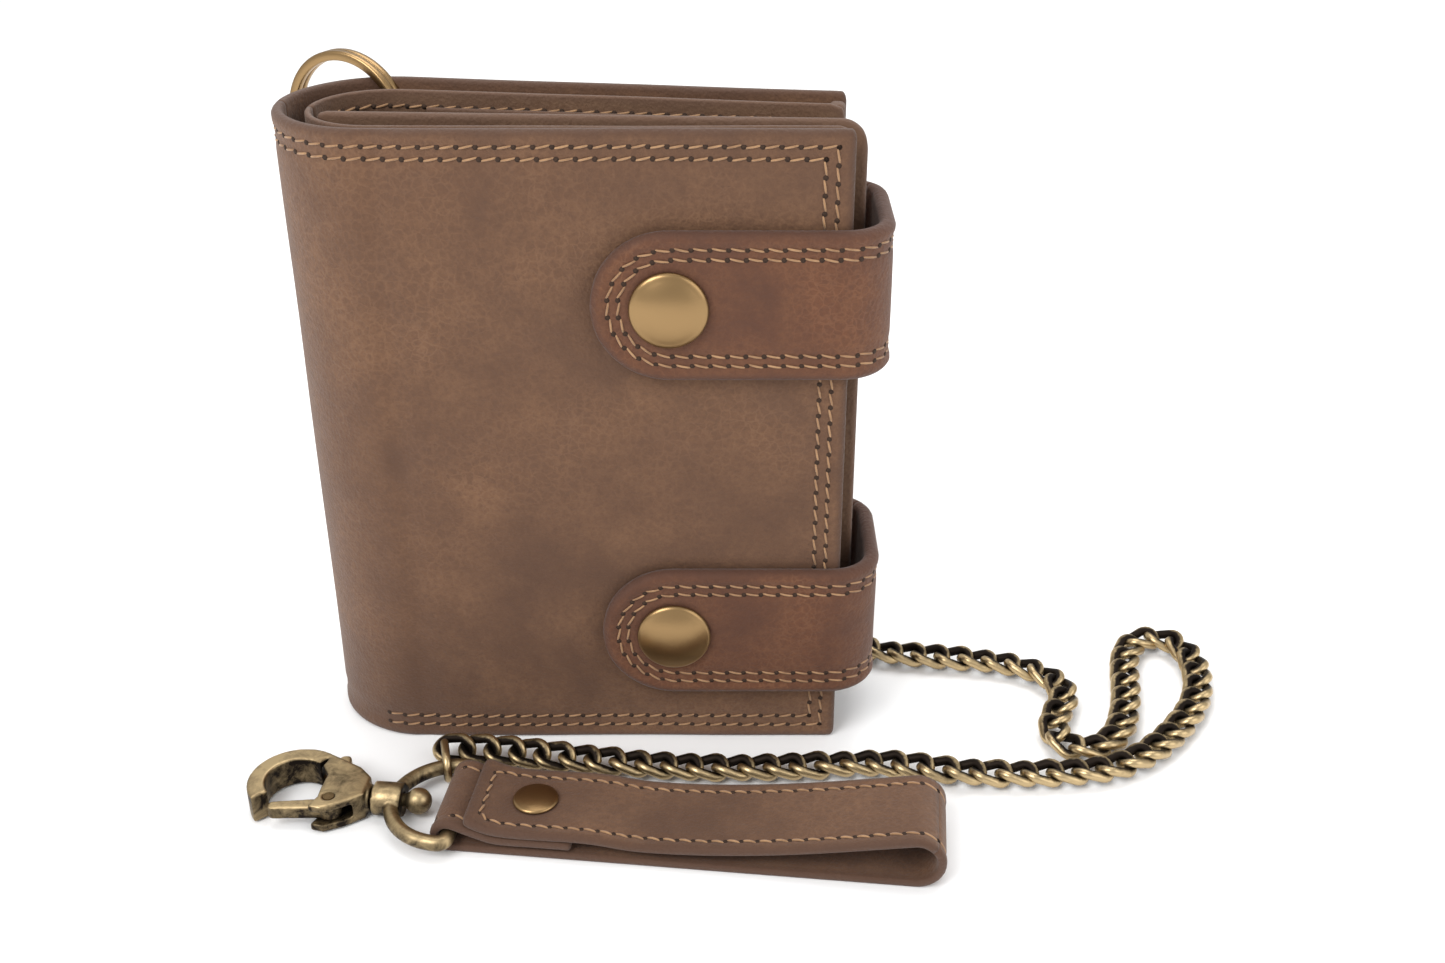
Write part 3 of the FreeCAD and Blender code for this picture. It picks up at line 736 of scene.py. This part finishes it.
def centre_page():
    tilt = math.radians(-PAGE_TILT)
    along = Vector((math.cos(tilt), math.sin(tilt)))
    start = Vector((PAGE_X, PAGE_Y))
    path = Path([start - along, start + along * (PAGE_LENGTH + 1.0)], 1, upright)
    outline = Outline(path.length, INNER_BASE, HEIGHT - 1.5, 2.0, 5.0)
    leather_sheet("centre_page_leather", path, outline, PAGE_THICKNESS, INNER_LEATHER, "page",
                  ("centre_page",), 1.2, 1.0, None, (True, True), waves(9, 40.0, 0.06))
    line = [[Vector((6.0, HEIGHT - 4.5)), Vector((path.length - 3.5, HEIGHT - 4.5)),
             Vector((path.length - 3.5, INNER_BASE + 3.5))]]
    for side in (1, -1):
        stitch_rows("centre_page_stitches_%s" % ("back" if side > 0 else "front"), path,
                    PAGE_THICKNESS * side, line, "page")


# ---------------------------------------------------------------- straps and snaps

def strap(which, middle):
    out = STRAP_T / 2
    tab_y = FRONT_Y - STRAP_GAP - out
    rear = panel_point("back", BACK_RUN, REAR_BEND)
    right = rear.x + REAR_BEND + out
    front_x = right - FRONT_BEND - out
    front_y = FRONT_Y - STRAP_GAP + FRONT_BEND
    points = [panel_point("back", BACK_RUN - STRAP_ANCHOR, -out)]
    points += arc(rear.x, rear.y, REAR_BEND + out, 90 - math.degrees(BACK_TILT), 0)
    points += arc(front_x, front_y, FRONT_BEND + out, 0, -90)
    points += [Vector((SNAP_X - STRAP_HALF, tab_y))]
    path = Path(points, 1, upright)
    outline = Outline(path.length, middle - STRAP_HALF, middle + STRAP_HALF, 2.0, STRAP_HALF)
    relief = grooves(outline, STRAP_ROWS, 0.24, 0.8, 0.28)
    wave = waves(11 + middle, 22.0, 0.12)
    cut = STRAP_ANCHOR + (REAR_BEND + out) * math.radians(45)
    folding_sheet(which + "_strap", path, outline, STRAP_T - 0.3, STRAP_LEATHER,
                  ((which + "_strap_anchor",), (which + "_strap",)), 0.8, 1.25, STRAP_ROWS, relief,
                  wave, cut, which + "_strap",
                  STITCH_PITCH, THREAD_R)


def lathe(name, profile, place, body, node_name, wear_and_highlight):
    """A turned brass part. place puts a point of its own space on the wallet."""
    sides = 64
    verts, faces, wear = [], [], []
    for r, z in profile:
        for k in range(sides):
            a = 2 * math.pi * k / sides
            verts.append(place(Vector((r * math.cos(a), r * math.sin(a), z))))
            wear.append(wear_and_highlight(z))
    for i in range(len(profile) - 1):
        for k in range(sides):
            a, b = i * sides + k, i * sides + (k + 1) % sides
            faces.append((a, b, b + sides, a + sides))
    faces.append(tuple(reversed(range(sides))))
    faces.append(tuple((len(profile) - 1) * sides + k for k in range(sides)))
    return finish_piece(name, verts, faces, BRASS, body, (node_name,), {"wear_and_highlight": wear})


def dome_profile(r, height, turn):
    """A pressed cap: a shallow crown whose edge turns down, from its underside up."""
    profile = [(r * 0.55, 0.0), (r - turn * 0.5, 0.0), (r - turn * 0.16, turn * 0.1)]
    for a in range(0, 76, 15):
        t = math.radians(a)
        profile.append((r - turn + turn * math.cos(t), turn * 0.35 + turn * 0.75 * math.sin(t)))
    shoulder_r, shoulder_z = profile[-1]
    for k in range(1, 14):
        share = 1 - k / 13.2
        profile.append((shoulder_r * share, height - (height - shoulder_z) * share ** 2.2))
    return profile


def snap_caps():
    for which, middle in STRAPS.items():
        def place(p, middle=middle):
            return Vector((SNAP_X + p.x, FRONT_Y - SNAP_FACE - p.z, middle - p.y))
        lathe(which + "_snap_dome", dome_profile(*STRAP_CAP), place, which + "_strap",
              which + "_snap_cap", lambda z: 0.1 + 0.85 * min(1.0, z / 1.5))

    def on_loop(p):
        return loop_plane(LOOP_SNAP_U + p.x, 3.8 + 0.3 + LOOP_T + p.z, p.y)
    lathe("loop_snap_dome", dome_profile(*LOOP_CAP), on_loop, "belt_flap", "loop_snap_cap",
          lambda z: 0.3 + 0.6 * min(1.0, z / 0.9))


# ---------------------------------------------------------------- belt loop

def belt_loop():
    half = LOOP_T / 2
    fold_r = BAR_R + 0.3 + half
    points = smooth([(19.0, 3.0), (12.0, 3.0), (4.75, 3.05), (0.5, 4.3),
                     (BAR_U + 0.8, BAR_Z + fold_r - 0.1)])
    points += arc(BAR_U, BAR_Z, fold_r, 90, 270)
    bend_start = Path(points + [Vector((BEND_U, half))], -1, loop_plane).length
    points += arc(BEND_U, BEND_Z, BEND_R - half, -90, 90)
    points += smooth([(BEND_U, 2 * BEND_Z - half), (62.0, 6.3), (46.0, 4.4), (32.0, 3.9), (21.5, 4.9),
                      (5.5, 4.9), (-1.5, 7.0)], 14)
    path = Path(points, -1, loop_plane)
    outline = Outline(path.length, -LOOP_HALF, LOOP_HALF, 0.6, 1.6)
    relief = grooves(outline, LOOP_ROWS, 0.2, 0.6, 0.12)
    wave = waves(21, 25.0, 0.06)
    folding_sheet("belt_loop", path, outline, LOOP_T, COVER_LEATHER,
                  (("belt_loop_base",), ("belt_loop_flap",)), 0.85, 0.6, LOOP_ROWS, relief, wave,
                  bend_start + (BEND_R - half) * math.radians(135), "belt_flap",
                  3.0, 0.25)


# ---------------------------------------------------------------- metal

def tube(line, radius, verts, faces, wear, wear_and_highlight, normal, closed=True, sides=12, flat=1.0):
    """Sweeps a section along a line, and rates the wear at each point by its place on the section.
    normal gives the section's up at each point. Where flat isn't 1, the section is a squared band."""
    base = len(verts)
    count = len(line)
    for i, p in enumerate(line):
        before = line[(i - 1) % count] if closed else line[max(0, i - 1)]
        after = line[(i + 1) % count] if closed else line[min(count - 1, i + 1)]
        along = (after - before).normalized()
        up = normal(i)
        up = (up - along * up.dot(along)).normalized()
        across = along.cross(up)
        for k in range(sides):
            a = 2 * math.pi * (k + 0.5) / sides
            c, s = math.cos(a), math.sin(a)
            if flat != 1.0:
                c = math.copysign(abs(c) ** 0.5, c)
                s = math.copysign(abs(s) ** 0.5, s)
            verts.append(p + across * (radius * c) + up * (radius * flat * s))
            wear.append(wear_and_highlight(c, s))
    for i in range(count if closed else count - 1):
        for k in range(sides):
            a = base + i * sides + k
            b = base + i * sides + (k + 1) % sides
            c = base + ((i + 1) % count) * sides + (k + 1) % sides
            d = base + ((i + 1) % count) * sides + k
            faces.append((a, b, c, d))
    if not closed:
        faces.append(tuple(base + k for k in reversed(range(sides))))
        faces.append(tuple(base + (count - 1) * sides + k for k in range(sides)))


def oval(length, width, wire, twist=0.0):
    """Centre line of a link along X, twisted by twist radians from end to end."""
    steps = 12
    bend = (width - wire) / 2
    half = length / 2 - wire / 2 - bend
    flat = []
    for side in (1, -1):
        for k in range(steps + 1):
            a = -math.pi / 2 + math.pi * k / steps
            flat.append(Vector((side * (half + bend * math.cos(a)), side * bend * math.sin(a), 0)))
    line = []
    for p in flat:
        a = twist * p.x / length
        line.append(Vector((p.x, p.y * math.cos(a), p.y * math.sin(a))))
    return line


def chain_line():
    """The chain's own line: a curve object's spline through the route, read back as points."""
    curve = bpy.data.curves.new("chain_route", "CURVE")
    curve.dimensions = "3D"
    curve.resolution_u = 24
    spline = curve.splines.new("NURBS")
    spline.points.add(len(ROUTE) - 1)
    for point, place in zip(spline.points, ROUTE):
        point.co = (*place, 1.0)
    spline.order_u = 3
    spline.use_endpoint_u = True
    holder = bpy.data.objects.new("chain_route", curve)
    mesh = bpy.data.meshes.new_from_object(holder)
    line = [v.co.copy() / MM for v in mesh.vertices]
    bpy.data.objects.remove(holder)
    return line


def chain():
    line = chain_line()
    total = sum((b - a).length for a, b in zip(line, line[1:]))
    centres = resample(line, LINK_PITCH)
    count = len(centres)
    shape = oval(LINK_LENGTH, LINK_WIDTH, LINK_WIRE, math.radians(90))
    ring_line = Vector((math.sin(RING_TURN), -math.cos(RING_TURN), 0))
    verts, faces, wear = [], [], []
    for i, centre in enumerate(centres):
        before, after = centres[max(0, i - 1)], centres[min(count - 1, i + 1)]
        along = (after - before).normalized()
        start = min(1.0, i / HANGING)
        end = max(0.0, 1.0 - (count - 1 - i) / TAIL)
        up = ring_line * (1 - start) + Vector((0, 0, 1)) * start
        up = (up - along * up.dot(along)).normalized()
        across = along.cross(up)
        lean = random.uniform(-7, 7) if 3 < i < count - 4 else 0.0
        roll = math.radians(45 + 45 * start - 45 * end + lean)
        side = up * math.cos(roll) + across * math.sin(roll)
        turn = Matrix((along, side, along.cross(side))).transposed()
        link = [centre + turn @ p for p in shape]
        outward = [turn @ Vector((p.x * 0.45, p.y, p.z)).normalized() for p in shape]
        tube(link, LINK_WIRE / 2, verts, faces, wear, lambda c, s: max(0.0, 0.15 + 0.95 * s),
             lambda k, o=outward: o[k])
    low = min(v.z for v in verts)
    print("chain %.1f mm, %d links, lowest %.2f" % (total, count, low))
    verts = [Vector((v.x, v.y, max(v.z, 0.05))) for v in verts]
    piece = finish_piece("wallet_chain", verts, faces, CHAIN_BRASS, "back_half",
                         ("chain_links",), {"wear_and_highlight": wear})
    return piece, total, line


def end_links():
    """The two larger links: one hangs in the split ring, the other lies round the swivel's D ring."""
    specs = {}
    wire_r = 0.8
    bow = END_LINK_LENGTH / 2 - wire_r
    top = RING_CENTRE.z - RING_RADIUS + RING_HALF_BAND + RING_PLAY + wire_r
    axis = Vector((math.cos(RING_TURN), math.sin(RING_TURN), 0))
    hanging = Vector((RING_CENTRE.x, RING_CENTRE.y, top - bow))
    specs["ring_end_link"] = (hanging, Vector((0, 0, -1)), axis)
    outward = Vector((-0.336, 0.942, 0)).normalized()
    reach = D_RING_HALF - BAR_R - 0.1 - wire_r + bow
    flat = loop_plane(BAR_U - 1.6 + outward.x * reach, CHAIN_END_Z, outward.y * reach)
    c, s = math.cos(LOOP_TURN), math.sin(LOOP_TURN)
    turned = Vector((outward.x * c - outward.y * s, outward.x * s + outward.y * c, 0))
    specs["swivel_end_link"] = (flat, turned, Vector((0, 0, 1)))
    pieces = []
    for name, (centre, along, side) in specs.items():
        verts, faces, wear = [], [], []
        turn = Matrix((along, side, along.cross(side))).transposed()
        line = oval(END_LINK_LENGTH, END_LINK_WIDTH, END_LINK_WIRE)
        shape = [centre + turn @ p for p in line]
        out = [(p - centre).normalized() for p in shape]
        tube(shape, END_LINK_WIRE / 2, verts, faces, wear, lambda c, s: max(0.0, 0.1 + 0.9 * s),
             lambda k, o=out: o[k], sides=14)
        pieces.append(finish_piece(name + "_wire", verts, faces, CHAIN_BRASS, "back_half",
                                   (name,), {"wear_and_highlight": wear}))
    return pieces


def split_ring():
    """Two coils of flat wire, stepping over at one place, as a key ring has."""
    axis = Vector((math.cos(RING_TURN), math.sin(RING_TURN), 0))
    flat = Vector((math.sin(RING_TURN), -math.cos(RING_TURN), 0))
    line = []
    steps, turns, first_angle = 150, 1.97, -2.2
    coil_gap, step_from, step_length = 1.5, 0.86, 0.22
    for i in range(steps + 1):
        t = turns * i / steps
        a = 2 * math.pi * t + first_angle
        step = min(1.0, max(0.0, (t - step_from) / step_length))
        step = step * step * (3 - 2 * step)
        offset = coil_gap * (step - 0.5)
        line.append(RING_CENTRE + axis * offset + flat * (RING_RADIUS * math.cos(a))
                    + Vector((0, 0, RING_RADIUS * math.sin(a))))
    verts, faces, wear = [], [], []
    tube(line, 0.95, verts, faces, wear, lambda c, s: 0.45 + 0.5 * abs(c), lambda k: axis,
         closed=False, flat=0.9)
    return finish_piece("split_ring_coil", verts, faces, BRASS, "back_half",
                        ("split_ring",), {"wear_and_highlight": wear})


def cast(node_name, body, voxel, rounds):
    """A cast copy of a CAD part: the same shape with its edges and inner corners softened."""
    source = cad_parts[node_name]
    piece = bpy.data.objects.new(node_name + "_cast", source.data.copy())
    bpy.context.scene.collection.objects.link(piece)
    piece.matrix_world = source.matrix_world
    remesh = piece.modifiers.new("remesh", "REMESH")
    remesh.mode = "VOXEL"
    remesh.voxel_size = voxel * MM
    soften = piece.modifiers.new("soften", "SMOOTH")
    soften.factor = 0.5
    soften.iterations = rounds
    bpy.context.view_layer.update()
    evaluated = piece.evaluated_get(bpy.context.evaluated_depsgraph_get())
    mesh = bpy.data.meshes.new_from_object(evaluated)
    piece.modifiers.clear()
    piece.data = mesh
    centre = sum((v.co for v in mesh.vertices), Vector()) / len(mesh.vertices)
    # Brightness per point: towards the outside it is wear, and on upward faces high on the part it is a
    # painted highlight
    layer = mesh.attributes.new("wear_and_highlight", "FLOAT", "POINT")
    top = max(v.co.z for v in mesh.vertices)
    reach = max((v.co - centre).length for v in mesh.vertices)
    layer.data.foreach_set("value", [0.15 + 0.45 * max(0.0, v.normal.z) * (v.co.z / top)
                                     + 0.35 * (v.co - centre).length / reach for v in mesh.vertices])
    for polygon in mesh.polygons:
        polygon.use_smooth = True
    mesh.materials.clear()
    mesh.materials.append(CHAIN_BRASS)
    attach(piece, body)
    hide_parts(node_name)
    return piece


def metal_nodes():
    """The small metal parts whose CAD shape already is right."""
    for name in ("upper_snap_socket", "upper_snap_stud", "upper_snap_post", "lower_snap_socket",
                 "lower_snap_stud", "lower_snap_post", "loop_snap_socket", "loop_snap_stud",
                 "loop_snap_post", "gate_pin"):
        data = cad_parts[name].data
        data.materials.clear()
        data.materials.append(BRASS)
    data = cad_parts["gate_spring"].data
    data.materials.clear()
    data.materials.append(STEEL)


# ---------------------------------------------------------------- stage

def stage():
    floor_mesh = bpy.data.meshes.new("floor")
    size = 30.0
    floor_mesh.from_pydata([(-size, -size, 0), (size, -size, 0), (size, size, 0), (-size, size, 0)], [],
                           [(0, 1, 2, 3)])
    material, tree = new_material("floor_white")
    shader = tree.nodes["Principled BSDF"]
    shader.inputs["Base Color"].default_value = (0.94, 0.94, 0.94, 1)
    shader.inputs["Roughness"].default_value = 0.9
    floor_mesh.materials.append(material)
    floor = bpy.data.objects.new("floor", floor_mesh)
    bpy.context.scene.collection.objects.link(floor)
    world = bpy.data.worlds.new("studio")
    world.use_nodes = True
    background = world.node_tree.nodes["Background"]
    background.inputs["Color"].default_value = (1.0, 1.0, 1.0, 1)
    background.inputs["Strength"].default_value = 0.72
    bpy.context.scene.world = world
    for name, place, target, size, power in (
            ("key", (-0.55, -0.65, 0.85), (0.0, 0.0, 0.05), 0.6, 8.5),
            ("fill", (0.8, -0.5, 0.5), (0.03, 0.0, 0.05), 0.8, 3.0),
            ("top", (0.05, 0.35, 0.95), (0.0, 0.0, 0.05), 0.7, 5.0)):
        light = bpy.data.lights.new(name, "AREA")
        light.size = size
        light.energy = power
        lamp = bpy.data.objects.new(name, light)
        lamp.location = place
        lamp.rotation_euler = (Vector(target) - Vector(place)).to_track_quat("-Z", "Y").to_euler()
        bpy.context.scene.collection.objects.link(lamp)


def camera():
    data = bpy.data.cameras.new("camera")
    data.sensor_width = CAMERA_SENSOR
    data.lens = CAMERA_LENS
    data.clip_start = 0.01
    view = bpy.data.objects.new("camera", data)
    view.location = CAMERA_PLACE
    view.rotation_euler = [math.radians(a) for a in CAMERA_TURN]
    bpy.context.scene.collection.objects.link(view)
    bpy.context.scene.camera = view


camera()
stage()
bpy.context.scene.view_settings.view_transform = "Standard"
build_half("front")
build_half("back")
for index, top in enumerate((125.0, 114.0)):
    card_pocket("front", index, top)
for index, top in enumerate((124.0, 113.0, 102.0)):
    card_pocket("back", index, top)
centre_page()
for which, middle in STRAPS.items():
    strap(which, middle)
snap_caps()
belt_loop()
ring = split_ring()
links = end_links()
swivel = cast("swivel_ring", "back_half", 0.28, 5)
hook = cast("clasp_body", "clasp", 0.25, 6)
gate = cast("clasp_gate", "gate", 0.22, 4)
metal_nodes()
chain_piece, chain_length, chain_points = chain()
[tuple(p * MM) for p in chain_points]
